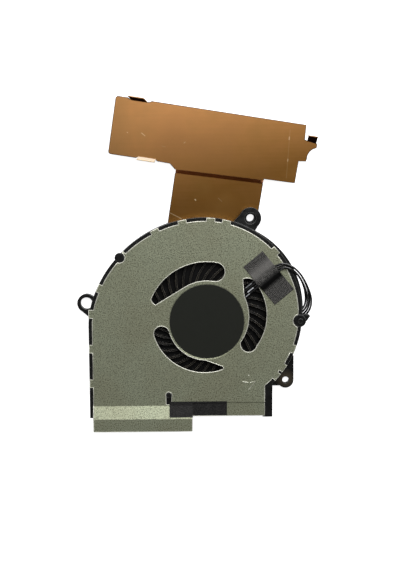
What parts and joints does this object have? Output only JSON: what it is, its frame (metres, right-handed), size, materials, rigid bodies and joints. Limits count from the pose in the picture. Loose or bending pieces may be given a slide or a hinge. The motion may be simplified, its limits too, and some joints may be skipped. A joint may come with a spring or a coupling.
{
  "type": "laptop cooling fan heatsink",
  "caption": "Flat centrifugal blower in a scroll frame with steel base plate, thin inlet cover, leads and folded copper heat spreader.",
  "frame": {"origin": "centre of the bounding box of all but the leads, on the plane of the screw ears' feet", "axes": "+Z along the fan axis towards the base plate, +Y from the air outlet towards the copper bar"},
  "size_m": [0.0972, 0.1342, 0.0128],
  "materials": {
    "frame_plastic": "moulded black",
    "cover_plastic": "matte black sheet",
    "plate_steel": "passivated olive grey, fine mottle",
    "copper_sheet": "bare copper, dulled",
    "adhesive_film": "thin double-sided film",
    "label_film": "plain black film",
    "cloth_tape": "black woven cloth",
    "impeller_plastic": "moulded black",
    "yoke_steel": "zinc plated",
    "magnet": "bonded ferrite",
    "shaft_steel": "ground steel",
    "brass_tube": "turned brass",
    "sintered_bronze": "oiled sintered bronze",
    "pad_plastic": "natural nylon",
    "core_steel": "laminated steel",
    "insulator_plastic": "natural nylon",
    "coil_copper": "enamelled copper wire",
    "board": "green solder mask",
    "chip": "moulded black",
    "plug_plastic": "moulded black",
    "contact_brass": "plated brass",
    "lead_sleeve": "black insulation"
  },
  "bodies": {
    "housing": {"housing_frame": "frame_plastic", "inlet_cover": "cover_plastic", "base_plate": "plate_steel", "heat_spreader": "copper_sheet", "spreader_adhesive": "adhesive_film", "motor_label": "label_film", "wire_tape": "cloth_tape", "outlet_tape": "cloth_tape", "bearing_housing": "brass_tube", "bearing_sleeve": "sintered_bronze", "thrust_pad": "pad_plastic", "retaining_ring": "pad_plastic", "stator_core": "core_steel", "stator_insulator": "insulator_plastic", "stator_coils": "coil_copper", "motor_board": "board", "driver_chip": "chip", "connector_housing": "plug_plastic", "connector_contacts": "contact_brass", "lead_wire_1": "lead_sleeve", "lead_wire_2": "lead_sleeve", "lead_wire_3": "lead_sleeve", "lead_wire_4": "lead_sleeve"},
    "rotor": {"impeller": "impeller_plastic", "rotor_yoke": "yoke_steel", "rotor_magnet": "magnet", "rotor_shaft": "shaft_steel"}
  },
  "joints": [
    {"name": "impeller_spin", "type": "hinge", "parent": "housing", "child": "rotor", "pos_m": [0.00385, -0.02275, 0.006], "axis": [0, 0, 1], "continuous": true}
  ]
}
